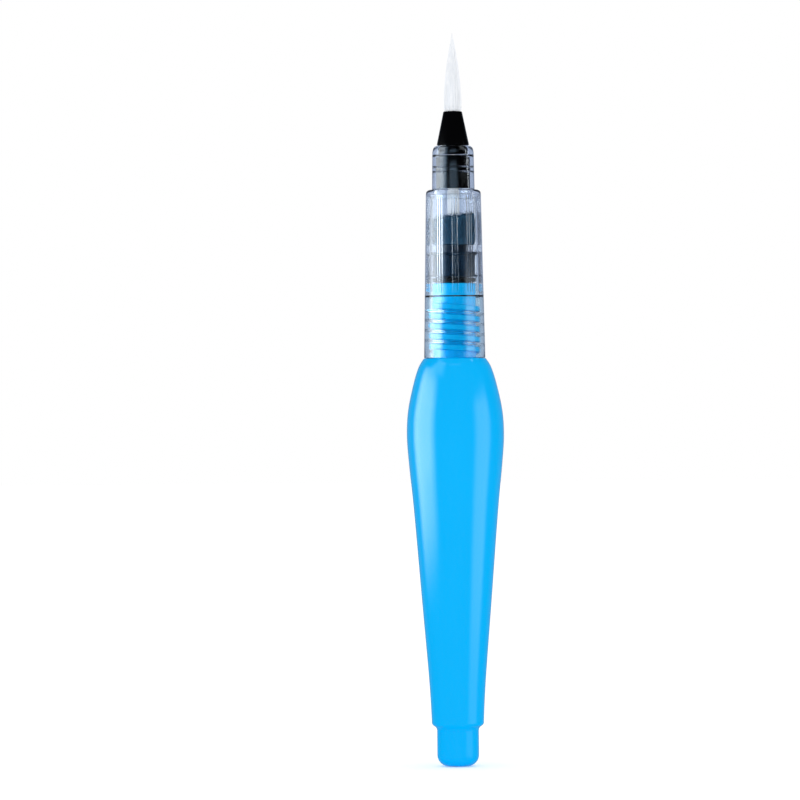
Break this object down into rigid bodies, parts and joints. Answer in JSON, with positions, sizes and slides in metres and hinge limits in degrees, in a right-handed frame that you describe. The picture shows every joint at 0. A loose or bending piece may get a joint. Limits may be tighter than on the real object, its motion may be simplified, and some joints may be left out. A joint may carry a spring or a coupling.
{
  "type": "water brush pen",
  "caption": "Squeezable water brush pen: slim-waisted blue reservoir, clear screw-on holder with a black feed, black ferrule and a pointed white tuft.",
  "frame": {"origin": "centre of the tail's flat end, where the pen stands", "axes": "+Z along the pen's long axis, from the tail to the brush tip; the pen is round about Z"},
  "size_m": [0.0192, 0.0192, 0.145],
  "materials": {
    "barrel_blue": "satin",
    "holder_clear": "clear gloss",
    "ferrule_black": "gloss",
    "band_grey": "gloss",
    "bristle_nylon": "fine filaments",
    "sponge_fibre": "matt fibre",
    "plug_black": "satin",
    "gasket_rubber": "matt",
    "wick_fibre": "matt fibre"
  },
  "bodies": {
    "barrel": {"barrel": "barrel_blue"},
    "seal": {"neck_gasket": "gasket_rubber"},
    "head": {"front_holder": "holder_clear", "ferrule": "ferrule_black", "tuft_band": "band_grey", "bristle_stem": "bristle_nylon", "flow_sponge": "sponge_fibre", "regulator_plug": "plug_black", "feed_wick": "wick_fibre"},
    "tuft": {"bristle_tuft": "bristle_nylon"}
  },
  "joints": [
    {"name": "head_rise", "type": "slide", "parent": "barrel", "child": "seal", "axis": [0, 0, 1], "range_m": [0, 0.01]},
    {"name": "head_screw", "type": "hinge", "parent": "seal", "child": "head", "pos_m": [0, 0, 0.0809], "axis": [0, 0, -1], "range_deg": [0, 1800]},
    {"name": "tuft_bend", "type": "hinge", "parent": "head", "child": "tuft", "pos_m": [0, 0, 0.13], "axis": [0, 1, 0], "range_deg": [-25, 25], "stiffness_Nm_per_rad": 0.002}
  ],
  "couplings": [
    {"joint": "head_screw", "follows": "head_rise", "rad_per_m": 3141.6}
  ]
}
